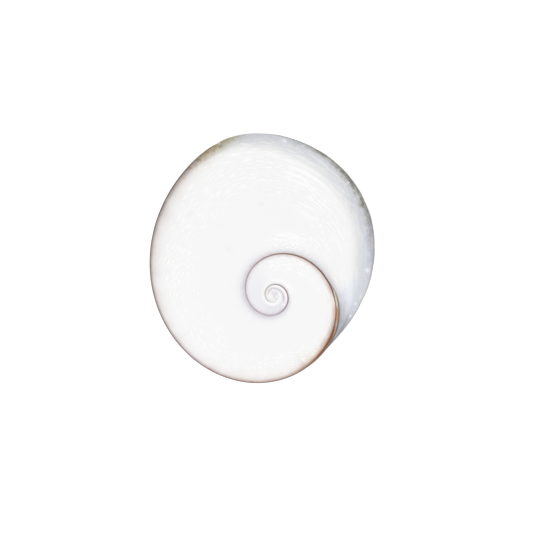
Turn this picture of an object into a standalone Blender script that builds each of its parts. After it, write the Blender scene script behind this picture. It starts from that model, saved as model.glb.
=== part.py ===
"""Shiva eye shell: the operculum (shell door) of a turban snail, one solid of calcium carbonate.

It lies on its domed back with the flat spiral face up. +Z is up through the face, +Y runs along its
length, and the origin is under the middle of its outline, on the surface that it rests on.

The face is built the way the snail grew it. A ribbon of shell winds clockwise out of the nucleus
between two turns of one spiral, the suture. A growth angle measures the distance along that ribbon,
and a whorl's outer edge is the next whorl's inner edge. The suture meets the outline at the junction.
After the junction the ribbon's outer edge is the outline: first the old rim, which goes on as the
same spiral, and then the lip, where the shell was still growing.
"""

import math

import bmesh
import bpy

MM = 0.001
TURN = 2 * math.pi

# Overall shape.
THICKNESS = 8.6 * MM  # from the surface it rests on to the crown of the face, before its hollow
NUCLEUS = (1.38 * MM, -4.45 * MM)  # the spiral's middle, from the middle of the outline
REST_SPOT = (0.15 * MM, 0.4 * MM)  # under the centre of mass
REST_SPOT_RADIUS = 3.2 * MM

# The suture: its radius is near START_RADIUS at growth angle 0, on the +X side of the nucleus.
START_RADIUS = 1.621 * MM
INNER_GROWTH = 0.140  # growth per radian in the nucleus
OUTER_GROWTH = 0.2345  # growth per radian in the whorls
GROWTH_CHANGE = 0.4  # radians over which one rate turns into the other
LEAN, LEAN_ANGLE = 0.022, math.radians(-21)
OVAL, OVAL_ANGLE = 0.015, math.radians(124)
NUCLEUS_START = math.radians(-254)
JUNCTION = math.radians(408)

# The wall: growth angle in degrees and how far the foot of the suture stands out from its upper
# edge in millimetres. Past the junction it is the old rim that stands out from the spiral.
WALL = ((340, 0.0), (364, 0.38), (388, 0.40), (408, 0.19), (426, 0.02), (440, 0.0))

# The lip: growth angle in degrees and distance from the nucleus in millimetres. It leaves the
# old rim's spiral at LIP_START.
LIP_START = math.radians(602)
LIP = (
    (615, 19.69),
    (630, 19.32),
    (652, 17.87),
    (675, 15.66),
    (698, 13.06),
    (720, 10.95),
    (735, 9.92),
    (750, 9.26),
    (762, 9.05),
)
SPIRAL_REACH = math.radians(12)  # how far the old rim guides the lip's two ends

# Each edge of the ribbon, from the nucleus out: growth angle in degrees, depth of the edge below
# the face, and width of the rounding that leads down to it, in millimetres. The last entry is at
# the junction again, a turn later, so it repeats the junction's depth.
EDGE = (
    (-900, 0.00, 0.05),
    (-300, 0.00, 0.05),
    (-180, 0.06, 0.08),
    (0, 0.10, 0.12),
    (180, 0.15, 0.16),
    (330, 0.20, 0.20),
    (372, 0.60, 0.40),
    (390, 0.72, 0.44),
    (408, 0.70, 0.46),
    (440, 0.55, 0.50),
    (480, 0.50, 0.50),
    (585, 0.58, 0.60),
    (620, 1.60, 2.00),
    (655, 2.25, 3.10),
    (700, 2.30, 3.30),
    (735, 1.95, 2.60),
    (755, 1.25, 1.20),
    (768, 0.70, 0.46),
)
SUTURE_SLOPE = 0.75 * MM  # how far a whorl takes to rise from the suture inside it
SLOPE_SHARE, ROUNDING_SHARE = 0.4, 0.5  # the most of a narrow whorl that its rise and rounding take
WEDGE_DROP = 0.70 * MM  # how far the last whorl sinks as it narrows into the junction
WEDGE_START, WEDGE_END = math.radians(680), math.radians(755)

# The face's broad form.
CROWN = 0.35 * MM  # fall of the face from its middle to its edge
CROWN_RADIUS = 15 * MM
DISH = 0.22 * MM  # hollow around the nucleus
DISH_RADIUS = 5 * MM

# The dome below the edge: the fullness of its curve near the rest spot and near the edge.
BELLY = 2.1
RIM_FULLNESS = 1.6  # along the old rim, which is thin
LIP_FULLNESS = 2.0  # along the lip, which is thick and round
TO_LIP = (LIP_START - 0.2, LIP_START + 0.5)  # growth angles that the lip's fullness sets in between
FROM_LIP = (JUNCTION + TURN - 0.6, JUNCTION + TURN)  # and that it dies away between

# Mesh: columns in a turn, rows across a whorl, and rings down the dome.
COLUMNS = 64
RISE_ROWS, FACE_ROWS, ROUND_ROWS = 2, 4, 3
ROW_CROWDING = 1.5  # the rows of the rise lie closer together towards the suture
DOME_RINGS = 11
SHARP_ANGLE = math.radians(40)  # faces that meet at more than this keep a crisp edge


def smoothstep(low, high, x):
    """0 below low, 1 above high, and a smooth rise between them."""
    t = min(1.0, max(0.0, (x - low) / (high - low)))
    return t * t * (3 - 2 * t)


def through(knots, x):
    """The value at x of the smooth curve through (x, value) knots, which are in order of x."""
    last = len(knots) - 2
    i = max(k for k in range(last + 1) if k == 0 or knots[k][0] <= x)
    (x0, y0), (x1, y1) = knots[i], knots[i + 1]
    span = x1 - x0

    def slope(k):
        a, b = knots[max(k - 1, 0)], knots[min(k + 1, last + 1)]
        return (b[1] - a[1]) / (b[0] - a[0])

    t = min(1.0, max(0.0, (x - x0) / span))
    start, end = slope(i) * span, slope(i + 1) * span
    rise = y1 - y0
    return y0 + t * (start + t * (3 * rise - 2 * start - end + t * (start + end - 2 * rise)))


def spiral(growth):
    """Distance from the nucleus of the spiral that the suture and the old rim follow."""
    faster = GROWTH_CHANGE * math.log1p(math.exp(growth / GROWTH_CHANGE))
    log_radius = INNER_GROWTH * growth + (OUTER_GROWTH - INNER_GROWTH) * faster
    angle = -growth
    shape = LEAN * math.cos(angle - LEAN_ANGLE) + OVAL * math.cos(2 * (angle - OVAL_ANGLE))
    return START_RADIUS * math.exp(log_radius + shape * smoothstep(-TURN, TURN / 4, growth))


def old_edge(growth):
    """Distance from the nucleus of the suture's foot and, past the junction, of the old rim."""
    return spiral(growth) + through(WALL_KNOTS, growth)


def in_metres(knots):
    """Knots in radians and metres from knots in degrees and millimetres."""
    return [(math.radians(degrees), size * MM) for degrees, size in knots]


def lip_knots():
    """The lip's own points, with the old rim's at both ends so that it runs smoothly into them."""
    before = [(g, old_edge(g)) for g in (LIP_START - SPIRAL_REACH, LIP_START)]
    after = [(g + TURN, old_edge(g)) for g in (JUNCTION, JUNCTION + SPIRAL_REACH)]
    return before + in_metres(LIP) + after


WALL_KNOTS = in_metres(WALL)
LIP_KNOTS = lip_knots()
DEPTH_KNOTS = in_metres((degrees, depth) for degrees, depth, _ in EDGE)
ROUND_KNOTS = in_metres((degrees, width) for degrees, _, width in EDGE)


def edge_radius(growth):
    """Distance from the nucleus of the ribbon's outer edge."""
    return old_edge(growth) if growth < LIP_START else through(LIP_KNOTS, growth)


def inner_edge_depth(growth):
    return through(DEPTH_KNOTS, growth - TURN)


def place(growth, radius):
    """The point at this growth angle and distance from the nucleus."""
    return NUCLEUS[0] + radius * math.cos(growth), NUCLEUS[1] - radius * math.sin(growth)


def face_level(x, y):
    """Height of the face before its grooves and roundings."""
    from_middle = math.hypot(x, y) / CROWN_RADIUS
    from_nucleus = math.hypot(x - NUCLEUS[0], y - NUCLEUS[1]) / DISH_RADIUS
    return THICKNESS - CROWN * from_middle**2 - DISH * math.exp(-(from_nucleus**2))


def column(growth):
    """The ribbon's points at one growth angle, from its inner edge to its outer edge."""
    inner, outer = edge_radius(growth - TURN), edge_radius(growth)
    width = outer - inner
    rise = min(SUTURE_SLOPE, SLOPE_SHARE * width)
    rounding = min(through(ROUND_KNOTS, growth), ROUNDING_SHARE * width)
    sunk = WEDGE_DROP * smoothstep(WEDGE_START, WEDGE_END, growth)
    inner_fall = inner_edge_depth(growth) - sunk
    outer_fall = through(DEPTH_KNOTS, growth) - sunk

    rows = []
    for i in range(RISE_ROWS):
        t = (i / RISE_ROWS) ** ROW_CROWDING
        rows.append((rise * t, inner_fall * (1 - t) ** 2))
    for i in range(FACE_ROWS):
        rows.append((rise + (width - rise - rounding) * i / FACE_ROWS, 0.0))
    for i in range(ROUND_ROWS + 1):
        turned = math.pi / 2 * i / ROUND_ROWS
        rows.append((width - rounding * (1 - math.sin(turned)), outer_fall * (1 - math.cos(turned))))

    points = []
    for across, fall in rows:
        x, y = place(growth, inner + across)
        points.append((x, y, face_level(x, y) - sunk - fall))
    return points


def dome_column(edge, growth):
    """Points from just below the edge of the face to the edge of the rest spot."""
    x, y, z = edge
    away = math.atan2(y - REST_SPOT[1], x - REST_SPOT[0])
    foot_x = REST_SPOT[0] + REST_SPOT_RADIUS * math.cos(away)
    foot_y = REST_SPOT[1] + REST_SPOT_RADIUS * math.sin(away)
    on_lip = smoothstep(*TO_LIP, growth) * (1 - smoothstep(*FROM_LIP, growth))
    fullness = RIM_FULLNESS + (LIP_FULLNESS - RIM_FULLNESS) * on_lip
    points = []
    for ring in range(1, DOME_RINGS + 1):
        turned = math.pi / 2 * ring / DOME_RINGS
        out = math.cos(turned)
        height = z * (1 - (1 - out**BELLY) ** (1 / fullness))
        points.append((foot_x + (x - foot_x) * out, foot_y + (y - foot_y) * out, height))
    return points


def build_operculum():
    """One closed mesh: the spiral ribbon, the fan in the nucleus, the dome and the flat rest spot."""
    bm = bmesh.new()
    step = TURN / COLUMNS
    first = round((NUCLEUS_START - JUNCTION) / step)

    # Column 0 is at the junction. Column COLUMNS is there again, a turn later, where the last
    # whorl has narrowed to nothing, so all its rows are one vertex.
    grid = {}
    for c in range(first, COLUMNS):
        points = column(JUNCTION + c * step)
        has_own_edge = 0 < c
        grid[c] = [bm.verts.new(p) for p in (points if has_own_edge else points[:-1])]
    junction = bm.verts.new(column(JUNCTION)[-1])
    rows = len(grid[COLUMNS - 1])
    grid[COLUMNS] = [junction] * rows
    for c in range(first, 1):
        grid[c].append(grid[c + COLUMNS][0])

    for c in range(first, COLUMNS):
        for j in range(rows - 1):
            ring = (grid[c][j], grid[c + 1][j], grid[c + 1][j + 1], grid[c][j + 1])
            corners = list(dict.fromkeys(ring))
            if len(corners) > 2:
                bm.faces.new(corners)

    # The fan in the nucleus closes the hole inside the first turn.
    hole = [grid[c][0] for c in range(first, first + COLUMNS + 1)]
    hole += [grid[first][j] for j in range(rows - 2, 0, -1)]
    centre = bm.verts.new((*NUCLEUS, face_level(*NUCLEUS)))
    for a, b in zip(hole, hole[1:] + hole[:1]):
        bm.faces.new((a, b, centre))

    edge = [junction] + [grid[c][-1] for c in range(1, COLUMNS)]
    rings = [edge]
    columns = [dome_column(v.co, JUNCTION + c * step) for c, v in enumerate(edge)]
    for k in range(DOME_RINGS):
        rings.append([bm.verts.new(points[k]) for points in columns])
    for upper, lower in zip(rings, rings[1:]):
        for c in range(COLUMNS):
            n = (c + 1) % COLUMNS
            bm.faces.new((upper[c], upper[n], lower[n], lower[c]))
    bm.faces.new(rings[-1])

    bmesh.ops.recalc_face_normals(bm, faces=bm.faces)
    mesh = bpy.data.meshes.new("operculum")
    bm.to_mesh(mesh)
    bm.free()
    return mesh


def porcelain_white():
    """The polished calcium carbonate of the face, slightly translucent at its edges."""
    material = bpy.data.materials.new("porcelain_white")
    material.use_nodes = True
    shader = material.node_tree.nodes["Principled BSDF"]
    shader.inputs["Base Color"].default_value = (0.90, 0.90, 0.89, 1.0)
    shader.inputs["Roughness"].default_value = 0.32
    shader.inputs["Metallic"].default_value = 0.0
    return material


def main():
    for obj in list(bpy.data.objects):
        bpy.data.objects.remove(obj)
    mesh = build_operculum()
    mesh.shade_smooth()
    mesh.set_sharp_from_angle(angle=SHARP_ANGLE)
    mesh.materials.append(porcelain_white())
    operculum = bpy.data.objects.new("operculum", mesh)
    bpy.context.scene.collection.objects.link(operculum)


main()
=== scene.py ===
"""The look of the shiva eye shell: the operculum (shell door) of a turban snail, flat face up.

One fine mesh stands for the CAD solid. It grows the way the snail grew the shell: a ribbon of shell
winds clockwise out of the nucleus between two turns of one spiral, the suture, and the last whorl's
outer edge is the outline. A growth angle measures the distance along that ribbon, in radians. Each
corner of the mesh knows what the material needs: how far it is from the suture and from the
outline, which growth line it lies on, and which markings it belongs to.

Lengths are in metres, with +Z up through the face and +Y along the shell's length.
"""

import math

import bpy
import numpy as np
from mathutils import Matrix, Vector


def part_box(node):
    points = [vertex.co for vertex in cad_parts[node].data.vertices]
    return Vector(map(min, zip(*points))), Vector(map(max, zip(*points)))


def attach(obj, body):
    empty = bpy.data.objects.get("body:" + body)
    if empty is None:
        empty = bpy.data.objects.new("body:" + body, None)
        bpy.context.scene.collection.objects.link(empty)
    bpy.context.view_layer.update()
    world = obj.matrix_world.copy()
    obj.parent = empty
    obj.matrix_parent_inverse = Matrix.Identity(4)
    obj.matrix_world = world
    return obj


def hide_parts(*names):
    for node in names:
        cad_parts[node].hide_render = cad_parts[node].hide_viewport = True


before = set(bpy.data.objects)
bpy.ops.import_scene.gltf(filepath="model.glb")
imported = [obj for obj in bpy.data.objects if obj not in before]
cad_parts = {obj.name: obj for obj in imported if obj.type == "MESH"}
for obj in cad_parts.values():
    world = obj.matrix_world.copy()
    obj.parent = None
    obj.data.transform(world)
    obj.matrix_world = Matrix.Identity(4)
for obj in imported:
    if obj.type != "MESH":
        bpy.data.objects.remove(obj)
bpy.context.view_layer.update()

MM = 0.001
TURN = 2 * math.pi
NODE = "operculum"

# Overall shape, as in the solid.
THICKNESS = 8.6 * MM  # from the surface it rests on to the crown of the face, before its hollow
NUCLEUS = np.array((1.38 * MM, -4.45 * MM))  # the spiral's middle, from the middle of the outline
REST_SPOT = np.array((0.15 * MM, 0.4 * MM))  # under the centre of mass
REST_SPOT_RADIUS = 3.2 * MM

# The suture: its radius is near START_RADIUS at growth angle 0, on the +X side of the nucleus. Here
# it starts deeper in the nucleus than in the solid.
START_RADIUS = 1.621 * MM
INNER_GROWTH = 0.140  # growth per radian in the nucleus
OUTER_GROWTH = 0.2345  # growth per radian in the whorls
GROWTH_CHANGE = 0.4  # radians over which one rate turns into the other
LEAN, LEAN_ANGLE = 0.022, math.radians(-21)  # the turns lean a little to one side
OVAL, OVAL_ANGLE = 0.015, math.radians(124)  # and are a little oval
NUCLEUS_START = math.radians(-500)
JUNCTION = math.radians(408)
JUNCTION_AGAIN = JUNCTION + TURN

# The wall: growth angle in degrees and how far the foot of the suture stands out from its upper
# edge in millimetres. Past the junction it is the old rim that stands out from the spiral.
WALL = ((340, 0.0), (364, 0.38), (388, 0.40), (408, 0.19), (426, 0.02), (440, 0.0))

# The lip: growth angle in degrees and distance from the nucleus in millimetres. It leaves the
# old rim's spiral at LIP_START.
LIP_START = math.radians(602)
LIP = (
    (615, 19.69),
    (630, 19.32),
    (652, 17.87),
    (675, 15.66),
    (698, 13.06),
    (720, 10.95),
    (735, 9.92),
    (750, 9.26),
    (762, 9.05),
)
SPIRAL_REACH = math.radians(12)  # how far the old rim guides the lip's two ends

# Each edge of the ribbon, from the nucleus out: growth angle in degrees, depth of the edge below
# the face, and width of the rounding that leads down to it, in millimetres. The last entry is at
# the junction again, a turn later, so it repeats the junction's depth.
EDGE = (
    (-900, 0.00, 0.05),
    (-300, 0.00, 0.05),
    (-180, 0.06, 0.08),
    (0, 0.10, 0.12),
    (180, 0.15, 0.16),
    (330, 0.20, 0.20),
    (372, 0.60, 0.40),
    (390, 0.72, 0.44),
    (408, 0.70, 0.46),
    (440, 0.55, 0.50),
    (480, 0.50, 0.50),
    (585, 0.58, 0.60),
    (620, 1.60, 2.00),
    (655, 2.25, 3.10),
    (700, 2.30, 3.30),
    (735, 1.95, 2.60),
    (755, 1.25, 1.20),
    (768, 0.70, 0.46),
)
SUTURE_SLOPE = 0.75 * MM  # how far a whorl takes to rise from the suture inside it
SLOPE_SHARE, ROUNDING_SHARE = 0.4, 0.5  # the most of a narrow whorl that its rise and rounding take
WEDGE_DROP = 0.70 * MM  # how far the last whorl sinks as it narrows into the junction
WEDGE_START, WEDGE_END = math.radians(680), math.radians(755)

# The face's broad form: its fall from the middle to the edge, and the hollow around the nucleus.
CROWN, CROWN_RADIUS = 0.35 * MM, 15 * MM
DISH, DISH_RADIUS = 0.22 * MM, 5 * MM

# A span is four numbers: the two that something sets in between, and the two that it dies away
# between. The dome's curve has one fullness near the rest spot and another near the edge, which
# differs between the thin old rim and the thick lip.
BELLY, RIM_FULLNESS, LIP_FULLNESS = 2.1, 1.6, 2.0
LIP_FULLNESS_SPAN = (LIP_START - 0.2, LIP_START + 0.5, JUNCTION_AGAIN - 0.6, JUNCTION_AGAIN)

# The mesh: columns in a turn, rows across a whorl (rise from the suture, flat face, rounding) and
# rings down the dome and over the rest spot. The last whorl is the widest and has the most rows.
COLUMNS = 480
INNER_ROWS = (6, 8, 6)
LAST_ROWS = (6, 40, 12)
ROW_CROWDING = 1.5  # the rows of the rise lie closer together towards the suture
DOME_RINGS, SPOT_RINGS = 54, 4
SHARP_ANGLE = math.radians(40)  # faces that meet at more than this keep a crisp edge

# Low growth ridges: the depth of the grooves between them, on the face and on the dome. They set in
# at these distances from the suture, from the outline and above the rest spot. On the face they lie
# at a slant. On the dome they wander a little, and their grooves are cut towards its core.
FACE_RIPPLE = 0.008 * MM
DOME_RIPPLE = 0.030 * MM
RIDGES_FROM_SUTURE, RIDGES_FROM_OUTLINE = (0.3 * MM, 1.2 * MM), (0.8 * MM, 2.0 * MM)
RIDGES_DOWN_DOME, RIDGES_ABOVE_SPOT = (0.4 * MM, 2.0 * MM), (0.3 * MM, 2.0 * MM)
RIDGE_SLANT, RIDGE_WANDER = 1.5, 0.6
DOME_CORE = np.array((*REST_SPOT, 0.6 * THICKNESS))
FAR_FROM_SUTURE = 10 * MM  # where the dome starts, to the markings that read this distance

# A small chip in the outline: its growth angle, half its width as an angle, and its depth.
CHIP, CHIP_HALF_WIDTH, CHIP_DEPTH = math.radians(609.7), math.radians(1.3), 0.05 * MM

# The lip's outline is worn a little uneven: by how much, and over which growth angles.
LIP_WEAR = 0.03 * MM
WORN_SPAN = (LIP_START, LIP_START + 0.3, JUNCTION_AGAIN - 0.6, JUNCTION_AGAIN - 0.3)

# Uneven waves, each a mean of sines: the sines' rates, in radians for each radian of growth or for
# each millimetre.
WAVES = {
    "lip wear": (13, 22, 37),
    "face ridges": (2.1, 3.4),
    "face ridges, along": (5, 9),
    "dome ridges": (2.3, 3.7, 5.1),
    "stain and shade width": (17, 29, 41),
    "glaze reach": (11, 19, 31, 47),
    "ring bends": (1, 2, 5),
    "rings": (1.7, 2.9, 4.3),
    "tan width": (4, 9),
    "olive reach": (3, 7),
}

# The colours of the shell's markings, as a screen shows them.
PAINT = {
    "face": "F7F7F7",
    "white": "FFFFFF",
    # the colour of the painted highlights at the glints
    "glint": "F6F8FF",
    "blush": "F1E2DA",
    "silver": "DEDBE1",
    "pewter": "CEC9D0",
    "lavender": "E4E3EC",
    "glaze": "E3E8F2",
    "haze": "E1E4EA",
    "greige": "B8ADAA",
    "rosewood": "AC9290",
    "lilac": "C8B8BC",
    "dusk": "B8A3A2",
    "cocoa": "A8877A",
    "mahogany": "8E5D4A",
    "rust": "80492C",
    "garnet": "70433A",
    "plum": "7E5A60",
    "mauve": "D6CBD1",
    "rose": "C6B0A8",
    "tan": "B2917F",
    "leather": "92603C",
    "chestnut": "946D4F",
    "caramel": "CB9A74",
    "honey": "B89850",
    "ochre": "94783C",
    "cream": "F1ECE0",
    "olive": "A0966A",
    "umber": "66504A",
    "bark": "4C3220",
    "ebony": "2A1E18",
    "khaki": "A79968",
    "sand": "A2885F",
    "mist": "DADADC",
    "stone": "787468",
    "flint": "423A29",
    "slate": "9E9EA6",
    "cloud": "BFB9C2",
    "smoke": "D4D3D7",
    "ash": "A9A6AC",
}

# From here on, growth angles are in degrees and distances in millimetres, unless a line says
# otherwise.

# The suture and the outline are one line, the ribbon's outer edge. The thin line itself: growth
# angle, colour and strength. Where it is the outline, its dark paint is partly the shell's own
# colour and partly painted shade on the steep edge.
LINE = (
    (-300, "greige", 0.0),
    (-240, "greige", 0.4),
    (-100, "greige", 0.8),
    (-40, "rosewood", 1.0),
    (30, "rosewood", 1.0),
    (80, "lilac", 0.85),
    (190, "lilac", 0.8),
    (240, "dusk", 0.9),
    (285, "cocoa", 1.0),
    (330, "mahogany", 1.0),
    (385, "rust", 1.0),
    (400, "leather", 1.0),
    (412, "leather", 1.0),
    (420, "rust", 0.9),
    (440, "garnet", 0.95),
    (470, "garnet", 0.95),
    (500, "plum", 1.0),
    (530, "umber", 0.8),
    (555, "umber", 0.8),
    (575, "umber", 1.0),
    (590, "ebony", 1.0),
    (601, "ebony", 1.0),
    (606, "bark", 1.0),
    (614, "khaki", 0.2),
    (620, "slate", 0.0),
    (626, "slate", 0.2),
    (632, "slate", 0.75),
    (640, "slate", 1.0),
    (648, "flint", 0.5),
    (688, "flint", 0.5),
    (700, "stone", 0.8),
    (708, "slate", 1.0),
    (720, "slate", 0.4),
    (735, "slate", 0.9),
    (768, "slate", 1.0),
)

# The line fades between these distances from its middle, which wander by this much. They are for a
# line of width 1. It is wider where it is the outline, and widest where the suture's upper line and
# its foot meet: growth angle and width.
LINE_EDGE, LINE_WANDER = (0.12, 0.05), 0.03
LINE_WIDTH = ((385, 1.0), (398, 2.4), (410, 2.4), (430, 1.6))

# The stain that soaks in from that line: growth angle, its colour at the line, its width and how
# abruptly it ends. Along the old rim it is the shell's own brown stain; along the lip its greys are
# partly the shell's khaki band and partly painted shade on the steep edge. Its width is uneven by a
# share. Under the end of the lip, the dome's stain turns into the old rim's.
STAIN_AND_SHADE = (
    (20, "face", 0.24, 1.5),
    (60, "mauve", 0.24, 1.5),
    (240, "mauve", 0.24, 1.5),
    (320, "rose", 0.24, 1.4),
    (370, "tan", 0.22, 1.3),
    (410, "chestnut", 0.36, 1.5),
    (422, "chestnut", 0.40, 1.0),
    (440, "mahogany", 0.14, 0.7),
    (470, "mahogany", 0.12, 0.6),
    (500, "plum", 0.10, 0.6),
    (525, "umber", 0.11, 0.6),
    (557, "umber", 0.17, 0.6),
    (585, "umber", 0.28, 0.7),
    (600, "bark", 0.25, 0.8),
    (604, "sand", 0.65, 1.2),
    (607, "sand", 0.80, 1.4),
    (610, "olive", 0.76, 1.5),
    (613, "olive", 0.54, 1.3),
    (616, "olive", 0.34, 1.1),
    (621, "mist", 0.50, 1.0),
    (632, "mist", 0.30, 1.0),
    (644, "flint", 0.22, 1.4),
    (656, "flint", 0.38, 2.2),
    (674, "flint", 0.40, 1.9),
    (690, "slate", 0.58, 1.3),
    (706, "cloud", 0.22, 1.2),
    (722, "smoke", 0.15, 1.0),
    (740, "cloud", 0.15, 1.0),
    (768, "cloud", 0.15, 1.0),
)
STAIN_AND_SHADE_UNEVEN = 0.2
UNDER_LIP_END = (725, 768)

# The thin blue-grey edge of the lip, which reaches across the whole wedge at its end: growth angle,
# colour, strength and width. Its width is uneven by a share and at a slant, and the edge is at its
# full strength for a share of its width.
GLAZE = (
    (600, "glaze", 0.0, 1.9),
    (622, "glaze", 0.7, 1.9),
    (640, "glaze", 0.75, 2.1),
    (655, "glaze", 0.8, 2.3),
    (668, "haze", 1.15, 2.7),
    (680, "haze", 1.15, 2.7),
    (690, "glaze", 1.0, 2.6),
    (705, "glaze", 0.85, 3.3),
    (720, "glaze", 0.86, 4.5),
    (735, "glaze", 0.86, 6.0),
    (768, "glaze", 0.84, 6.0),
)
GLAZE_UNEVEN, GLAZE_SLANT, GLAZE_FULL = 0.35, 0.2, 0.4

# The painted shade just outside the suture, in its groove and over the sunk wedge by the junction:
# growth angle of the suture, its colour at the line and its width. How abruptly it ends is the
# same all along.
SHADE = (
    (-200, "face", 0.20),
    (0, "silver", 0.25),
    (60, "lavender", 0.50),
    (180, "lavender", 0.80),
    (260, "silver", 0.60),
    (330, "smoke", 0.75),
    (362, "smoke", 0.90),
    (380, "ash", 1.20),
    (408, "slate", 1.25),
)
SHADE_ABRUPTNESS = 2.0

# The wall between the suture's upper line and its foot: growth angle, the wall's colour, and the
# colour and strength of the line along its foot. The wall's colour sets in between these growth
# angles and these widths of the wall, and is soft by this much at its upper edge.
WALL_MARKS = (
    (352, "smoke", "ochre", 0.0),
    (358, "cream", "honey", 0.6),
    (363, "cream", "honey", 1.0),
    (368, "blush", "ochre", 0.9),
    (373, "caramel", "ochre", 0.7),
    (380, "caramel", "ochre", 0.7),
    (385, "rose", "bark", 0.7),
    (391, "caramel", "leather", 0.8),
    (398, "rust", "bark", 0.9),
    (410, "rust", "bark", 1.0),
    (418, "rust", "bark", 0.0),
)
WALL_START, WALL_WIDE, WALL_SOFT = (350, 358), (0.02, 0.08), 0.05

# The nucleus has a silver disc, which ends between these growth angles, sooner further inward.
DISC_SHARE, DISC_END, DISC_SLANT = 0.9, (-240, -130), 160
# A grey ring of painted shade lies inside the suture: growth angle and distance from the suture,
# then its span.
RING_MIDDLE = ((-100, 0.40), (-80, 0.50), (0, 0.54), (30, 0.64))
RING_SPAN, RING_HALF_WIDTH = (-190, -120, 10, 45), 0.15
# Between the ring and the suture is a bead, which turns from blush to white and grows stronger.
# Its blush is the shell's own colour; its white is a painted highlight along the bead's crest.
BEAD_SPAN, BEAD_MIDDLE, BEAD_HALF_WIDTH = (-215, -170, 40, 62), 0.225, 0.12
BEAD_WHITENS, BEAD_SHARE, WHITE_BEAD_SHARE = (-150, -90), 0.9, 1.5
# Outside the suture is a white rim, a painted highlight: growth angle, distance from the suture
# and half width.
RIM = ((220, 0.23, 0.16), (300, 0.50, 0.20))
RIM_SPAN = (60, 100, 330, 365)
# The whorl outside that is lavender: growth angle and strength.
LAVENDER = ((-20, 0.0), (40, 0.9), (100, 0.9), (140, 0.5), (220, 0.35), (270, 0.0))
LAVENDER_START = (0.3, 0.55)

# The dome turns cream between these distances down, with faint rings that bend a little and die
# away further down.
CREAM_START, RINGS_SHARE, RINGS_BEND, RINGS_END = (0.3, 2.5), 0.4, 0.7, (8, 12)
# Tan lies under the old rim, and not over this span under the lip. Its width is uneven.
NO_TAN_SPAN, TAN_SHARE, TAN_WIDTH, TAN_UNEVEN = (570, 610, 725, 768), 0.5, 0.9, 0.3
# A band of olive lies under the lip: its span, its strength, and where it sets in and ends.
OLIVE_SPAN, OLIVE_SHARE, OLIVE_START, OLIVE_END = (585, 650, 700, 760), 0.8, (0.3, 1.5), (3.0, 7.0)

# Pale patches mottle the markings: their strength on the whole face, in the nucleus, in the groove
# beside the suture, at the lip and on the dome under the lip, and where each of them lies. Those
# last two are fainter by the outline.
FACE_MOTTLE = 0.12
NUCLEUS_MOTTLE, NUCLEUS_END = 0.8, (-240, -160)
GROOVE_MOTTLE, GROOVE_SPAN, GROOVE_END = 0.25, (410, 440, 660, 700), (0.6, 1.4)
LIP_MOTTLE, LIP_SPAN, LIP_END = 0.5, (612, 628, 680, 745), (2.6, 4.2)
DOME_MOTTLE, UNDER_LIP_SPAN, DOME_MOTTLE_END = 0.16, (590, 630, 730, 768), (4.0, 8.0)
OUTLINE_MOTTLE, OFF_OUTLINE = 0.4, (0.1, 0.5)

# Sand-coloured flecks in the stain: growth angle and strength, then their span from the outline.
FLECKS = (
    (588, 0.0),
    (600, 0.8),
    (612, 0.8),
    (625, 0.0),
    (645, 0.0),
    (660, 1.0),
    (680, 1.0),
    (700, 0.0),
)
FLECKS_SPAN = (0.1, 0.25, 0.6, 1.2)

# The grain of the face runs along the outline, and leans inward from it as the shell winds on:
# growth angle, and how far in the line of grain is by then. In the early whorls a radian of growth
# is short, and counts along the grain as this share of one.
GRAIN = ((-200, 0.0), (400, 8.0), (590, 25.0), (768, 27.0))
EARLY_WHORLS_END, EARLY_GRAIN = math.radians(370), 0.4
NARROWEST = 0.2 * MM  # the grain crowds together until the whorl is this narrow

# The white streaks: growth angle, strength, and the two distances from the ribbon's outer edge that
# they lie between. They set in and end around those distances, between these shares of them. From
# the lip's start on they also lie this near to the suture, but not right beside it.
STREAKS = (
    (230, 0.0, 0.4, 2.0),
    (260, 1.0, 0.4, 2.0),
    (285, 2.2, 0.4, 2.0),
    (345, 1.8, 0.5, 1.9),
    (365, 0.6, 0.8, 1.8),
    (400, 0.6, 0.8, 1.8),
    (420, 1.0, 0.6, 2.6),
    (440, 0.9, 0.8, 3.2),
    (490, 0.9, 1.0, 3.4),
    (505, 0.9, 1.3, 5.2),
    (550, 1.1, 1.3, 5.4),
    (580, 0.8, 1.8, 6.0),
    (600, 0.7, 1.2, 6.8),
    (620, 1.4, 0.8, 6.8),
    (665, 1.4, 0.8, 7.6),
    (690, 1.0, 0.8, 12.0),
    (725, 0.5, 0.8, 12.0),
)
STREAKS_SET_IN, STREAKS_END = (0.7, 1.5), (0.8, 1.2)
BY_SUTURE_START, BY_SUTURE_END, OFF_SUTURE = (610, 640), (2.0, 3.5), (0.15, 0.5)

# Glints on the bead, at the chip and where the lip is pitted: growth angle, distance from the
# ribbon's outer edge and radius. Each is a painted highlight, a pale colour on the face, and a
# facet, turned this share of the way to face straight up.
GLINTS = (
    (42, 0.42, 0.20),
    (610, 0.12, 0.16),
    (634, 0.60, 0.44),
    (641, 0.45, 0.18),
    (663.5, 0.66, 0.22),
    (705, 0.68, 0.46),
    (721, 0.37, 0.33),
    (726, 0.60, 0.20),
    (730, 0.30, 0.22),
    (735, 0.38, 0.24),
)
GLINT_TILT = 0.9

# Faint smudges on the face: where they are and their radius.
SMUDGES = ((-0.2, 6.5, 0.45), (-8.6, 5.3, 0.5), (-4.0, 1.1, 0.4))
SMUDGE_SHARE = 0.16

# Glints and smudges are full out to this share of their radius, and their edges wander by this
# much. They are on the face only, which ends this far down the dome's first ring.
SPOT_FULL, SPOT_WANDER = 0.35, 0.6
FACE_END = (0.5, 0.4)

# Noises in space: features in a metre, and detail.
BEND_NOISE = (250.0, 2.0)
CLUMP_NOISE = (300.0, 2.0)
CLOUD_NOISE = (1800.0, 3.0)
FLECK_NOISE = (2000.0, 3.0)
LINE_NOISE = (1500.0, 2.0)
SPOT_NOISE = (3000.0, 2.0)
GRIT_NOISE = (2500.0, 4.0)

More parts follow.
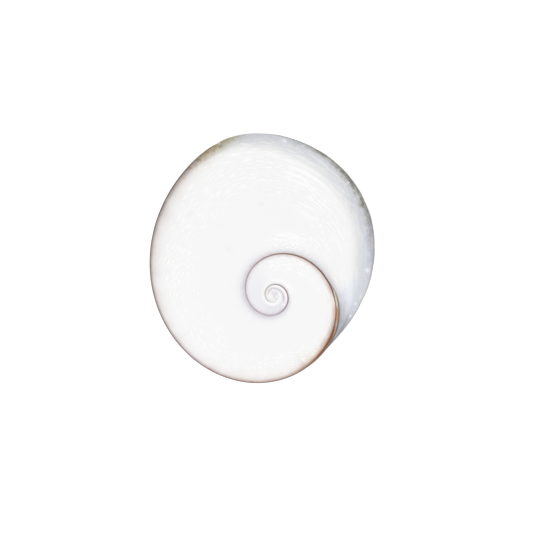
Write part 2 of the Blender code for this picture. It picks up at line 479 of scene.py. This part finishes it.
# Noises drawn out along the grain: features in a millimetre across it, features in a radian along
# it, and detail. The grain itself bends by this many millimetres.
DASH_NOISE = (5.5, 13.0, 2.0)
ARC_NOISE = (2.9, 1.9, 1.0)
PATCH_NOISE = (3.5, 6.0, 3.0)
GRAIN_BEND = 0.8

# The white streaks are short dashes and long arcs. Each shows between two levels of its noise, two
# levels of the clumps and two growth angles. A streak also washes the markings out by a share.
DASH_LEVELS, DASH_CLUMPS, DASH_GROWTH = (0.49, 0.66), (0.22, 0.52), (715, 655)
ARC_LEVELS, ARC_CLUMPS, ARC_GROWTH = (0.53, 0.66), (0.68, 0.42), (590, 640)
STREAK_FADING = 0.8

# Pale patches show between two levels of two noises added together, and flecks of one.
PATCH_LEVELS = (0.78, 1.28)
FLECK_LEVELS, FLECK_SHARE = (0.45, 0.72), 0.6

# The polish: the roughness of the face, what the dome and the grit add to it, and how the grit and
# the streaks stand out in the bump.
ROUGHNESS, DOME_ROUGHNESS, GRIT_ROUGHNESS = 0.26, 0.12, 0.16
GRIT_RELIEF, STREAK_RELIEF = 0.3, 0.3
BUMP_STRENGTH, BUMP_DISTANCE = 0.5, 0.02 * MM

# The Mix node's inputs (share, lower and upper) and its output, for each kind of thing it mixes.
MIX_SOCKETS = {"VECTOR": ((0, 4, 5), 1), "RGBA": ((0, 6, 7), 2)}

# The camera looks straight down on this point of the face, from so far that the view is this wide.
CAMERA_TARGET = (0.52 * MM, -1.00 * MM)
CAMERA_WIDTH = 63.80 * MM
CAMERA_LENS = 500
SENSOR = 36

# A pale floor just under the shell, and light from a softbox above and from all around. These
# lengths are in metres.
FLOOR_HALF, FLOOR_GAP = 1.5, 0.01 * MM
FLOOR_GREY, FLOOR_GLOW = 0.4, 0.8
SOFTBOX_PLACE, SOFTBOX_SIZE, SOFTBOX_BRIGHTNESS = (-0.05, -0.05, 0.6), 0.5, 0.80
ROOM_BRIGHTNESS = 0.25


def srgb(hex_colour):
    """A linear colour from the six hex digits that a screen would show."""
    shown = [int(hex_colour[i : i + 2], 16) / 255 for i in (0, 2, 4)]
    linear = [c / 12.92 if c <= 0.04045 else ((c + 0.055) / 1.055) ** 2.4 for c in shown]
    return (*linear, 1.0)


COLOUR = {name: np.array(srgb(digits)) for name, digits in PAINT.items()}


def smoothstep(low, high, x):
    """0 below low, 1 above high, and a smooth rise between them."""
    t = np.clip((x - low) / (high - low), 0.0, 1.0)
    return t * t * (3 - 2 * t)


def within(span, x):
    """0 outside a span, 1 inside it, and a smooth change between its first and last two numbers."""
    start, full, waning, end = span
    return smoothstep(start, full, x) * (1 - smoothstep(waning, end, x))


def through(knots, x):
    """The value at x of the smooth curve through (x, value) knots, which are in order of x."""
    at, value = np.array(knots, float).T
    slope = np.empty_like(value)
    slope[1:-1] = (value[2:] - value[:-2]) / (at[2:] - at[:-2])
    slope[0] = (value[1] - value[0]) / (at[1] - at[0])
    slope[-1] = (value[-1] - value[-2]) / (at[-1] - at[-2])
    i = np.clip(np.searchsorted(at, x, side="right") - 1, 0, len(at) - 2)
    span, rise = at[i + 1] - at[i], value[i + 1] - value[i]
    t = np.clip((x - at[i]) / span, 0.0, 1.0)
    start, end = slope[i] * span, slope[i + 1] * span
    return value[i] + t * (start + t * (3 * rise - 2 * start - end + t * (start + end - 2 * rise)))


def in_metres(knots):
    """Knots in radians and metres from knots in degrees and millimetres."""
    return [(math.radians(degrees), size * MM) for degrees, size in knots]


def spiral(growth):
    """Distance from the nucleus of the spiral that the suture and the old rim follow."""
    faster = GROWTH_CHANGE * np.log1p(np.exp(growth / GROWTH_CHANGE))
    log_radius = INNER_GROWTH * growth + (OUTER_GROWTH - INNER_GROWTH) * faster
    angle = -growth
    shape = LEAN * np.cos(angle - LEAN_ANGLE) + OVAL * np.cos(2 * (angle - OVAL_ANGLE))
    return START_RADIUS * np.exp(log_radius + shape * smoothstep(-TURN, TURN / 4, growth))


WALL_KNOTS = in_metres(WALL)
DEPTH_KNOTS = in_metres([(degrees, depth) for degrees, depth, _ in EDGE])
ROUND_KNOTS = in_metres([(degrees, width) for degrees, _, width in EDGE])


def old_edge(growth):
    """Distance from the nucleus of the suture's foot and, past the junction, of the old rim."""
    return spiral(growth) + through(WALL_KNOTS, growth)


def lip_knots():
    """The lip's own points, with the old rim's at both ends so that it runs smoothly into them."""
    before = [(g, old_edge(g)) for g in (LIP_START - SPIRAL_REACH, LIP_START)]
    after = [(g + TURN, old_edge(g)) for g in (JUNCTION, JUNCTION + SPIRAL_REACH)]
    return before + in_metres(LIP) + after


LIP_KNOTS = lip_knots()


def edge_radius(growth):
    """Distance from the nucleus of the ribbon's outer edge."""
    whole = np.where(growth < LIP_START, old_edge(growth), through(LIP_KNOTS, growth))
    worn = LIP_WEAR * within(WORN_SPAN, growth) * wave("lip wear", growth)
    return whole - worn - CHIP_DEPTH * hump(growth, CHIP, CHIP_HALF_WIDTH)


def hump(x, middle, half_width):
    """1 at the middle, falling to 0 about one and a half half-widths away."""
    return np.exp(-(((x - middle) / half_width) ** 2))


def wave(name, x):
    """An uneven wave between -1 and 1."""
    rates = WAVES[name]
    return sum(np.sin(rate * x + rate**2) for rate in rates) / len(rates)


def face_level(x, y):
    """Height of the face before its grooves and roundings."""
    from_middle = np.hypot(x, y) / CROWN_RADIUS
    from_nucleus = np.hypot(x - NUCLEUS[0], y - NUCLEUS[1]) / DISH_RADIUS
    return THICKNESS - CROWN * from_middle**2 - DISH * np.exp(-(from_nucleus**2))


def ribbon(growth, rows):
    """The ribbon's points at these growth angles, column by row, and what each point knows."""
    rise_rows, face_rows, round_rows = rows
    growth = growth[:, None]
    inner, outer = edge_radius(growth - TURN), edge_radius(growth)
    width = outer - inner
    rise = np.minimum(SUTURE_SLOPE, SLOPE_SHARE * width)
    rounding = np.minimum(through(ROUND_KNOTS, growth), ROUNDING_SHARE * width)
    sunk = WEDGE_DROP * smoothstep(WEDGE_START, WEDGE_END, growth)
    inner_fall = through(DEPTH_KNOTS, growth - TURN) - sunk
    outer_fall = through(DEPTH_KNOTS, growth) - sunk

    risen = (np.arange(rise_rows) / rise_rows) ** ROW_CROWDING
    flat = rise + (width - rise - rounding) * np.arange(face_rows) / face_rows
    turned = math.pi / 2 * np.arange(round_rows + 1) / round_rows
    across = np.hstack((rise * risen, flat, width - rounding * (1 - np.sin(turned))))
    outer_fall = outer_fall * (1 - np.cos(turned))
    fall = np.hstack((inner_fall * (1 - risen) ** 2, np.zeros_like(flat), outer_fall))

    radius = inner + across
    x = NUCLEUS[0] + radius * np.cos(growth)
    y = NUCLEUS[1] - radius * np.sin(growth)
    to_edge = width - across
    ridged = smoothstep(*RIDGES_FROM_SUTURE, across) * smoothstep(*RIDGES_FROM_OUTLINE, to_edge)
    waves = wave("face ridges", to_edge / MM + RIDGE_SLANT * growth)
    waves = waves + wave("face ridges, along", growth)
    z = face_level(x, y) - sunk - fall - FACE_RIPPLE * ridged * (1 + waves / 2)
    # As the last whorl narrows, the lines of its grain crowd together.
    widest = edge_radius(LIP_START) - edge_radius(LIP_START - TURN)
    squeeze = np.where(growth < LIP_START, 1.0, widest / np.maximum(width, NARROWEST))
    facts = {
        "from_suture": across,
        "to_edge": to_edge,
        "growth": np.broadcast_to(growth, radius.shape),
        "grain": to_edge * squeeze,
    }
    return np.stack((x, y, z), -1), facts


def dome(edge, growth):
    """Points from the outline down to the middle of the rest spot, and what each knows."""
    away = np.arctan2(edge[:, 1] - REST_SPOT[1], edge[:, 0] - REST_SPOT[0])
    foot = REST_SPOT + REST_SPOT_RADIUS * np.stack((np.cos(away), np.sin(away)), -1)
    on_lip = within(LIP_FULLNESS_SPAN, growth)
    fullness = (RIM_FULLNESS + (LIP_FULLNESS - RIM_FULLNESS) * on_lip)[:, None]

    out = np.cos(math.pi / 2 * np.arange(DOME_RINGS + 1) / DOME_RINGS)
    height = edge[:, 2:] * (1 - (1 - out**BELLY) ** (1 / fullness))
    side = foot[:, None] + (edge[:, None, :2] - foot[:, None]) * out[:, None]
    points = np.concatenate((side, height[:, :, None]), -1)

    out = 1 - np.arange(1, SPOT_RINGS + 1) / SPOT_RINGS
    spot = REST_SPOT + (foot[:, None] - REST_SPOT) * out[:, None]
    spot = np.concatenate((spot, np.zeros(spot.shape[:2] + (1,))), -1)
    points = np.concatenate((points, spot), 1)

    steps = np.linalg.norm(np.diff(points, axis=1), axis=-1)
    down = np.hstack((np.zeros((len(edge), 1)), np.cumsum(steps, 1)))
    waves = wave("dome ridges", down / MM + RIDGE_WANDER * np.sin(away[:, None]))
    ridged = smoothstep(*RIDGES_DOWN_DOME, down) * smoothstep(*RIDGES_ABOVE_SPOT, points[:, :, 2])
    inward = DOME_CORE - points
    inward /= np.linalg.norm(inward, axis=-1, keepdims=True)
    points += inward * (DOME_RIPPLE * ridged * (1 + waves) / 2)[:, :, None]
    facts = {
        "from_suture": FAR_FROM_SUTURE + down,
        "to_edge": -down,
        "growth": np.broadcast_to(growth[:, None], down.shape),
        "grain": -down,
    }
    return points, facts


class Patchwork:
    """A mesh made of grids of corners. Joined corners share a vertex and keep their own facts."""

    def __init__(self):
        self.positions, self.facts, self.faces = [], {}, []
        self.count = 0

    def add(self, positions, facts):
        """Adds a grid of corners, and returns their numbers in the same grid."""
        shape = positions.shape[:-1]
        self.positions.append(positions.reshape(-1, 3))
        for name, values in facts.items():
            self.facts.setdefault(name, []).append(np.ravel(values))
        first = self.count
        self.count += math.prod(shape)
        return np.arange(first, self.count).reshape(shape)

    def quads(self, grid):
        """Faces between the neighbours of a grid of corner numbers."""
        corners = (grid[:-1, :-1], grid[1:, :-1], grid[1:, 1:], grid[:-1, 1:])
        self.faces += np.stack(corners, -1).reshape(-1, 4).tolist()

    def stitch(self, coarse, fine):
        """Faces between the early whorls' last column and the last whorl's first, finer one."""
        start = 0
        corners = iter(zip(coarse, coarse[1:]))
        for few, many in zip(INNER_ROWS, LAST_ROWS):
            finer = many // few
            for _ in range(few):
                below, above = next(corners)
                self.faces.append([below, *fine[start : start + finer + 1], above])
                start += finer

    def mesh(self, name, joined):
        """The mesh. joined lists pairs of grids of corner numbers that are one place."""
        vertex = np.arange(self.count)
        for kept, merged in joined:
            vertex[merged] = vertex[kept]
        used, vertex = np.unique(vertex, return_inverse=True)
        faces = []
        # Where corners are one place, a face goes through that place once.
        for face in self.faces:
            place = {vertex[corner]: corner for corner in reversed(face)}
            corners = [corner for corner in face if place[vertex[corner]] == corner]
            if len(corners) > 2:
                faces.append(corners)
        mesh = bpy.data.meshes.new(name)
        positions = np.concatenate(self.positions)[used]
        mesh.from_pydata(positions, [], [[vertex[c] for c in face] for face in faces])
        facts = {fact: np.concatenate(values) for fact, values in self.facts.items()}
        corners = np.concatenate(faces)
        for fact, values in markings(**facts).items():
            kind, field = ("FLOAT", "value") if values.ndim == 1 else ("FLOAT_COLOR", "color")
            attribute = mesh.attributes.new(fact, kind, "CORNER")
            attribute.data.foreach_set(field, values[corners].astype(np.float32).ravel())
        return mesh


def along_line(table, growth):
    """Each column of a table at these growth angles. The first column is in degrees."""
    at = np.radians([row[0] for row in table])
    for column in zip(*[row[1:] for row in table]):
        if isinstance(column[0], str):
            colours = np.array([COLOUR[name] for name in column])
            yield np.stack([np.interp(growth, at, channel) for channel in colours.T], -1)
        else:
            yield np.interp(growth, at, column)


def fade(distance, width, abruptness=1.0):
    """1 at no distance, and less further away. Distances and widths are in millimetres."""
    return np.exp(-((np.maximum(distance, 0) / width) ** abruptness))


def soaked(tint, colour, share):
    """A tint with more of a colour soaked into it, as dye soaks in. It also lays painted shade and
    highlights.
    """
    return tint * (colour / COLOUR["face"]) ** np.expand_dims(share, -1)


def nucleus_marks(tint, growth, outward, inward):
    """Silver disc, grey ring of painted shade, bead and white rim with painted highlight, and
    lavender.
    """
    degrees = np.degrees(growth)
    disc = 1 - smoothstep(*DISC_END, degrees + DISC_SLANT * inward)
    tint = soaked(tint, COLOUR["silver"], DISC_SHARE * disc)
    # The grey ring is painted shade.
    (middle,) = along_line(RING_MIDDLE, growth)
    ring = within(RING_SPAN, degrees) * hump(inward, middle, RING_HALF_WIDTH)
    tint = soaked(tint, COLOUR["pewter"], ring)
    # The bead's white is a painted highlight along its crest.
    whiter = smoothstep(*BEAD_WHITENS, degrees)
    colour = COLOUR["blush"] + whiter[:, None] * (COLOUR["white"] - COLOUR["blush"])
    bead = within(BEAD_SPAN, degrees) * hump(inward, BEAD_MIDDLE, BEAD_HALF_WIDTH)
    bead *= BEAD_SHARE + (WHITE_BEAD_SHARE - BEAD_SHARE) * whiter
    tint = soaked(tint, colour, bead)
    # The white rim is a painted highlight.
    middle, half_width = along_line(RIM, growth)
    rim = within(RIM_SPAN, degrees) * hump(outward, middle, half_width)
    tint = soaked(tint, COLOUR["white"], rim)
    (lavender,) = along_line(LAVENDER, growth)
    return soaked(tint, COLOUR["lavender"], lavender * smoothstep(*LAVENDER_START, outward))


def lip_marks(tint, growth, inward):
    """The thin blue-grey edge of the lip."""
    colour, share, width = along_line(GLAZE, growth)
    width *= 1 + GLAZE_UNEVEN * wave("glaze reach", growth + GLAZE_SLANT * inward)
    return soaked(tint, colour, share * (1 - smoothstep(GLAZE_FULL * width, width, inward)))


def dome_marks(tint, growth, down):
    """The hidden side: cream, with tan under the old rim and a band of olive under the lip."""
    degrees = np.degrees(growth)
    rings = wave("rings", down + RINGS_BEND * wave("ring bends", growth))
    rings *= RINGS_SHARE * (1 - smoothstep(*RINGS_END, down))
    tint = soaked(tint, COLOUR["cream"], (1 + rings) * smoothstep(*CREAM_START, down))
    width = TAN_WIDTH + TAN_UNEVEN * wave("tan width", growth)
    old_rim = TAN_SHARE * (1 - within(NO_TAN_SPAN, degrees)) * fade(down, width)
    tint = soaked(tint, COLOUR["tan"], old_rim)
    band = OLIVE_SHARE * within(OLIVE_SPAN, degrees) * smoothstep(*OLIVE_START, down)
    band *= 1 - smoothstep(*OLIVE_END, down + wave("olive reach", growth))
    return soaked(tint, COLOUR["olive"], band)


def mottling(on_face, growth, outward, inward):
    """How strong the pale patches are."""
    degrees = np.degrees(growth)
    at_lip = LIP_MOTTLE * within(LIP_SPAN, degrees) * (1 - smoothstep(*LIP_END, inward))
    under_lip = DOME_MOTTLE * within(UNDER_LIP_SPAN, degrees)
    under_lip *= 1 - smoothstep(*DOME_MOTTLE_END, -inward)
    off_outline = smoothstep(*OFF_OUTLINE, np.abs(inward))
    near_edge = np.where(on_face, at_lip, under_lip)
    near_edge *= OUTLINE_MOTTLE + (1 - OUTLINE_MOTTLE) * off_outline
    groove = GROOVE_MOTTLE * within(GROOVE_SPAN, degrees) * (1 - smoothstep(*GROOVE_END, outward))
    nucleus = NUCLEUS_MOTTLE * (1 - smoothstep(*NUCLEUS_END, degrees))
    return FACE_MOTTLE * on_face + near_edge + groove + nucleus


def streaking(on_face, growth, outward, inward):
    """How strong the white streaks are."""
    strength, start, end = along_line(STREAKS, growth)
    by_suture = smoothstep(*BY_SUTURE_START, np.degrees(growth))
    by_suture *= 1 - smoothstep(*BY_SUTURE_END, outward)
    near = np.maximum(1 - smoothstep(*STREAKS_END, inward / end), by_suture)
    near *= smoothstep(*STREAKS_SET_IN, inward / start) * smoothstep(*OFF_SUTURE, outward)
    return strength * near * on_face


def markings(from_suture, to_edge, growth, grain):
    """What the material reads at each corner. Its distances are in millimetres."""
    outward, inward = from_suture / MM, to_edge / MM
    on_face = inward >= 0
    last_turn = growth - TURN
    wall, last_wall = (through(WALL_KNOTS, g) / MM for g in (growth, last_turn))
    behind = np.where(on_face, inward - wall, -inward)
    tint = np.ones(growth.shape + (4,))

    # Under the end of the lip, the dome's stain turns into the old rim's.
    meeting = np.where(on_face, 0.0, smoothstep(*UNDER_LIP_END, np.degrees(growth)))
    colour, width, abruptness = (
        (now.T + meeting * (old - now).T).T
        for now, old in zip(along_line(STAIN_AND_SHADE, growth), along_line(STAIN_AND_SHADE, last_turn))
    )
    width *= 1 + STAIN_AND_SHADE_UNEVEN * wave("stain and shade width", growth)
    # The stain along the outline, which on the lip's steep edge is partly painted shade.
    tint = soaked(tint, colour, fade(behind, width, abruptness))
    # Painted shade beside the suture and in the wedge.
    colour, width = along_line(SHADE, last_turn)
    tint = soaked(tint, colour, fade(outward, width, SHADE_ABRUPTNESS))
    face = nucleus_marks(lip_marks(tint, growth, inward), growth, outward, inward)
    tint = np.where(on_face[:, None], face, dome_marks(tint, growth, -inward))

    # The nearest line may be the ribbon's outer edge or, a turn earlier, its inner edge.
    upper_gap = np.minimum(np.abs(inward - wall), outward + last_wall)
    foot_gap = np.minimum(np.abs(inward), outward)
    near_inner = outward + last_wall < np.abs(inward - wall)
    line_growth = np.where(near_inner, last_turn, growth)
    line_colour, line_share = along_line(LINE, line_growth)
    line_share = line_share * (1 - hump(line_growth, CHIP, CHIP_HALF_WIDTH))
    (line_width,) = along_line(LINE_WIDTH, line_growth)
    wall_colour, foot_colour, foot_share = along_line(WALL_MARKS, line_growth)
    on_wall = smoothstep(-WALL_SOFT, WALL_SOFT, wall - inward) * smoothstep(*WALL_WIDE, wall)
    on_wall *= smoothstep(*WALL_START, np.degrees(growth)) * on_face
    tint += on_wall[:, None] * (wall_colour / COLOUR["face"] - tint)

    (lean,) = along_line(GRAIN, growth)
    (flecks,) = along_line(FLECKS, growth)
    return {
        "tint": tint,
        "line_colour": line_colour,
        "line_share": line_share,
        "line_gap": upper_gap / line_width,
        "foot_colour": foot_colour,
        "foot_share": foot_share,
        "foot_gap": foot_gap,
        "striae": streaking(on_face, growth, outward, inward),
        "grain": grain / MM - lean,
        "growth": growth,
        "along": growth - (1 - EARLY_GRAIN) * np.minimum(growth - EARLY_WHORLS_END, 0),
        "mottle": mottling(on_face, growth, outward, inward),
        "flecks": flecks * within(FLECKS_SPAN, inward),
        "dome": 1.0 - on_face,
    }


def build_shell():
    """The ribbon, the fan in the nucleus, the dome and the flat rest spot, as one closed mesh."""
    work = Patchwork()
    step = TURN / COLUMNS
    first = round((NUCLEUS_START - JUNCTION) / step)
    # Column 0 is at the junction, and so is column COLUMNS, where the last whorl has no width left.
    early = work.add(*ribbon(JUNCTION + step * np.arange(first, 0), INNER_ROWS))
    last = work.add(*ribbon(JUNCTION + step * np.arange(COLUMNS + 1), LAST_ROWS))
    work.quads(early)
    work.quads(last)
    work.stitch(early[-1], last[0])

    # The ribbon leaves a hole in the nucleus, inside its first turn and its first column.
    centre = np.array((*NUCLEUS, face_level(*NUCLEUS)))
    middle = work.add(centre[None], {name: values[0][0] for name, values in work.facts.items()})
    hole = [*early[: COLUMNS + 1, 0], *early[0, -2:0:-1]]
    work.faces += [[b, a, middle[0]] for a, b in zip(hole, hole[1:] + hole[:1])]

    outline = np.concatenate(work.positions)[last[:COLUMNS, -1]]
    sides = work.add(*dome(outline, JUNCTION + step * np.arange(COLUMNS)))
    work.quads(np.vstack((sides, sides[:1])))

    # A whorl's outer edge is the inner edge of the next whorl, a turn later.
    sutures = np.concatenate((early[:, 0], last[:, 0]))
    inner_edge = sutures[COLUMNS:-1]
    joined = [
        (last[0, -1], last[COLUMNS]),
        (inner_edge, early[: len(inner_edge), -1]),
        (last[:COLUMNS, -1], sides[:, 0]),
        (sides[0, -1], sides[:, -1]),
    ]
    return work.mesh("operculum_shell", joined)


class Nodes:
    """Builds a node tree. Each method but link adds nodes, and returns the last one's output."""

    def __init__(self, tree):
        self.tree = tree

    def link(self, output, socket):
        """Joins an output to another node's input."""
        self.tree.links.new(output, socket)

    def add(self, kind, inputs, output=0, **settings):
        """Any node. Its inputs are sockets to link or plain values, by name or number."""
        node = self.tree.nodes.new(kind)
        for name, value in settings.items():
            setattr(node, name, value)
        for name, value in inputs.items():
            if isinstance(value, bpy.types.NodeSocket):
                self.link(value, node.inputs[name])
            else:
                node.inputs[name].default_value = value
        return node.outputs[output]

    def fact(self, name):
        """A number that the mesh's corners know, by name."""
        return self.add("ShaderNodeAttribute", {}, "Fac", attribute_name=name)

    def colour_fact(self, name):
        """A colour that the mesh's corners know, by name."""
        return self.add("ShaderNodeAttribute", {}, "Color", attribute_name=name)

    def math(self, operation, *values):
        """Arithmetic on numbers."""
        return self.add("ShaderNodeMath", dict(enumerate(values)), operation=operation)

    def times(self, a, b):
        """Two numbers multiplied."""
        return self.math("MULTIPLY", a, b)

    def rise(self, low, high, x):
        """0 at low, 1 at high, and a smooth change between them. low may be the greater number."""
        inputs = {"Value": x, "From Min": low, "From Max": high}
        return self.add("ShaderNodeMapRange", inputs, interpolation_type="SMOOTHSTEP")

    def vector(self, x, y, z=0.0):
        """Three numbers as one vector."""
        return self.add("ShaderNodeCombineXYZ", {"X": x, "Y": y, "Z": z})

    def vector_math(self, operation, *values, output=0):
        """Arithmetic on vectors."""
        inputs = dict(enumerate(values))
        return self.add("ShaderNodeVectorMath", inputs, output, operation=operation)

    def noise(self, vector, scale, detail, output=0):
        """Noise, by the features in each unit of the vector and its detail."""
        inputs = {"Vector": vector, "Scale": scale, "Detail": detail}
        return self.add("ShaderNodeTexNoise", inputs, output)

    def swing(self, noise, width):
        """Noise moved to lie about 0, and made this wide."""
        return self.times(self.math("SUBTRACT", noise, 0.5), width)

    def mix(self, kind, share, below, above, blend_type="MIX"):
        """What lies below with a share of what lies above."""
        sockets, output = MIX_SOCKETS[kind]
        inputs = dict(zip(sockets, (share, below, above)))
        return self.add("ShaderNodeMix", inputs, output, data_type=kind, blend_type=blend_type)

    def blend(self, share, below, above):
        """A colour covered by a share of another."""
        return self.mix("RGBA", share, below, above)

    def multiply(self, share, below, above):
        """A colour multiplied by a share of another."""
        return self.mix("RGBA", share, below, above, "MULTIPLY")


def glint_place(degrees, inward, radius):
    """A glint's place and radius, in metres."""
    growth = math.radians(degrees)
    distance = float(edge_radius(growth)) - inward * MM
    x = NUCLEUS[0] + distance * math.cos(growth)
    y = NUCLEUS[1] - distance * math.sin(growth)
    return x, y, radius * MM


def porcelain_material():
    """Polished calcium carbonate: stains, painted shade and highlights, and fine white growth
    lines.
    """
    material = bpy.data.materials.new("porcelain_white")
    material.use_nodes = True
    nodes = Nodes(material.node_tree)
    shader = material.node_tree.nodes["Principled BSDF"]
    place = nodes.add("ShaderNodeTexCoord", {}, "Object")

    bend = nodes.swing(nodes.noise(place, *BEND_NOISE), GRAIN_BEND)
    grain = nodes.math("ADD", nodes.fact("grain"), bend)
    growth = nodes.fact("growth")
    clumps = nodes.noise(place, *CLUMP_NOISE)

    def along_grain(across, along, detail):
        """Noise drawn out along the grain."""
        along = nodes.times(nodes.fact("along"), along)
        return nodes.noise(nodes.vector(nodes.times(grain, across), along), 1.0, detail)

    def growth_lines(noise, levels, clump_levels, degrees):
        """White lines along the grain, which come in clumps and between two growth angles."""
        lines = nodes.rise(*levels, along_grain(*noise))
        lines = nodes.times(lines, nodes.rise(*clump_levels, clumps))
        return nodes.times(lines, nodes.rise(*map(math.radians, degrees), growth))

    dashes = growth_lines(DASH_NOISE, DASH_LEVELS, DASH_CLUMPS, DASH_GROWTH)
    arcs = growth_lines(ARC_NOISE, ARC_LEVELS, ARC_CLUMPS, ARC_GROWTH)
    streaks = nodes.times(nodes.math("MAXIMUM", dashes, arcs), nodes.fact("striae"))
    colour = nodes.blend(streaks, srgb(PAINT["face"]), srgb(PAINT["white"]))

    # Pale patches and streaks wash the markings out.
    cloudy = nodes.math("ADD", along_grain(*PATCH_NOISE), nodes.noise(place, *CLOUD_NOISE))
    patches = nodes.times(nodes.rise(*PATCH_LEVELS, cloudy), nodes.fact("mottle"))
    fading = nodes.math("MAXIMUM", patches, nodes.times(streaks, STREAK_FADING))
    colour = nodes.multiply(nodes.math("SUBTRACT", 1.0, fading), colour, nodes.colour_fact("tint"))

    flecks = nodes.rise(*FLECK_LEVELS, nodes.noise(place, *FLECK_NOISE))
    flecks = nodes.times(flecks, nodes.fact("flecks"))
    colour = nodes.multiply(nodes.times(flecks, FLECK_SHARE), colour, srgb(PAINT["sand"]))

    # The suture's line and the foot line. At the outline their dark paint is partly painted shade.
    wander = nodes.swing(nodes.noise(place, *LINE_NOISE), LINE_WANDER)
    for gap, share, line_colour in (
        ("line_gap", "line_share", "line_colour"),
        ("foot_gap", "foot_share", "foot_colour"),
    ):
        gap = nodes.math("ADD", nodes.fact(gap), wander)
        line = nodes.times(nodes.rise(*LINE_EDGE, gap), nodes.fact(share))
        colour = nodes.blend(line, colour, nodes.colour_fact(line_colour))

    # The place as seen from above, moved about so that round spots get uneven edges.
    uneven = nodes.noise(place, *SPOT_NOISE, "Color")
    uneven = nodes.vector_math("SUBTRACT", uneven, (0.5, 0.5, 0.5))
    uneven = nodes.vector_math("MULTIPLY", uneven, 3 * (SPOT_WANDER * MM,))
    above = nodes.vector_math("MULTIPLY", nodes.vector_math("ADD", place, uneven), (1, 1, 0))
    on_face = nodes.rise(*FACE_END, nodes.fact("dome"))

    def spot(x, y, radius):
        """1 in the middle of a round spot on the face, and less towards its uneven edge."""
        away = nodes.vector_math("DISTANCE", above, (x, y, 0), output="Value")
        return nodes.times(nodes.rise(radius, SPOT_FULL * radius, away), on_face)

    for x, y, radius in SMUDGES:
        share = nodes.times(spot(x * MM, y * MM, radius * MM), SMUDGE_SHARE)
        colour = nodes.blend(share, colour, srgb(PAINT["mist"]))
    # Glints are painted highlights: a pale colour over each spot, with the facets tilted below.
    glinting = 0.0
    for glint in GLINTS:
        glinting = nodes.math("MAXIMUM", spot(*glint_place(*glint)), glinting)
    colour = nodes.blend(glinting, colour, srgb(PAINT["glint"]))
    nodes.link(colour, shader.inputs["Base Color"])

    grit = nodes.noise(place, *GRIT_NOISE)
    roughness = nodes.times(nodes.fact("dome"), DOME_ROUGHNESS)
    roughness = nodes.math("ADD", nodes.times(grit, GRIT_ROUGHNESS), roughness)
    roughness = nodes.math("ADD", roughness, ROUGHNESS)
    nodes.link(roughness, shader.inputs["Roughness"])
    height = nodes.times(streaks, STREAK_RELIEF)
    height = nodes.math("ADD", nodes.times(grit, GRIT_RELIEF), height)
    inputs = {"Height": height, "Strength": BUMP_STRENGTH, "Distance": BUMP_DISTANCE}
    bump = nodes.add("ShaderNodeBump", inputs)
    # A glint is a facet of the worn edge that faces up, into the light.
    normal = nodes.mix("VECTOR", nodes.times(glinting, GLINT_TILT), bump, (0, 0, 1))
    nodes.link(nodes.vector_math("NORMALIZE", normal), shader.inputs["Normal"])
    return material


def add_camera():
    """A long lens, far above the face."""
    data = bpy.data.cameras.new("camera")
    data.lens = CAMERA_LENS
    data.sensor_width = SENSOR
    camera = bpy.data.objects.new("camera", data)
    distance = CAMERA_WIDTH * CAMERA_LENS / SENSOR
    camera.location = (*CAMERA_TARGET, THICKNESS + distance)
    bpy.context.scene.collection.objects.link(camera)
    bpy.context.scene.camera = camera


def add_floor():
    """A wide matt floor that glows a little, so that it looks white."""
    mesh = bpy.data.meshes.new("floor")
    signs = ((-1, -1), (1, -1), (1, 1), (-1, 1))
    corners = [(x * FLOOR_HALF, y * FLOOR_HALF, -FLOOR_GAP) for x, y in signs]
    mesh.from_pydata(corners, [], [(0, 1, 2, 3)])
    material = bpy.data.materials.new("floor")
    material.use_nodes = True
    shader = material.node_tree.nodes["Principled BSDF"]
    shader.inputs["Base Color"].default_value = (FLOOR_GREY, FLOOR_GREY, FLOOR_GREY, 1.0)
    shader.inputs["Roughness"].default_value = 1.0
    shader.inputs["Specular IOR Level"].default_value = 0.0
    shader.inputs["Emission Color"].default_value = (1, 1, 1, 1)
    shader.inputs["Emission Strength"].default_value = FLOOR_GLOW
    mesh.materials.append(material)
    floor = bpy.data.objects.new("floor", mesh)
    bpy.context.scene.collection.objects.link(floor)


def add_light():
    """A white room and a softbox that points at the shell."""
    scene = bpy.context.scene
    scene.view_settings.view_transform = "Standard"
    scene.world = bpy.data.worlds.new("studio")
    scene.world.use_nodes = True
    room = scene.world.node_tree.nodes["Background"]
    room.inputs["Color"].default_value = (1, 1, 1, 1)
    room.inputs["Strength"].default_value = ROOM_BRIGHTNESS
    data = bpy.data.lights.new("softbox", "AREA")
    data.size = SOFTBOX_SIZE
    data.energy = SOFTBOX_BRIGHTNESS * math.pi**2 * SOFTBOX_PLACE[2] ** 2
    light = bpy.data.objects.new("softbox", data)
    light.location = SOFTBOX_PLACE
    direction = -light.location
    light.rotation_euler = direction.to_track_quat("-Z", "Y").to_euler()
    scene.collection.objects.link(light)


def main():
    """The shell, fitted into the solid's box, then the camera, the floor and the light."""
    low, high = (np.array(corner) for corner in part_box(NODE))
    mesh = build_shell()
    positions = np.empty(3 * len(mesh.vertices), np.float32)
    mesh.vertices.foreach_get("co", positions)
    positions = positions.reshape(-1, 3)
    fit = (high - low) / (positions.max(0) - positions.min(0))
    positions = low + (positions - positions.min(0)) * fit
    mesh.vertices.foreach_set("co", positions.ravel())
    mesh.shade_smooth()
    mesh.set_sharp_from_angle(angle=SHARP_ANGLE)
    mesh.materials.append(porcelain_material())
    shell = bpy.data.objects.new("operculum_shell", mesh)
    bpy.context.scene.collection.objects.link(shell)
    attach(shell, "root")
    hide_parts(NODE)

    add_camera()
    add_floor()
    add_light()


main()
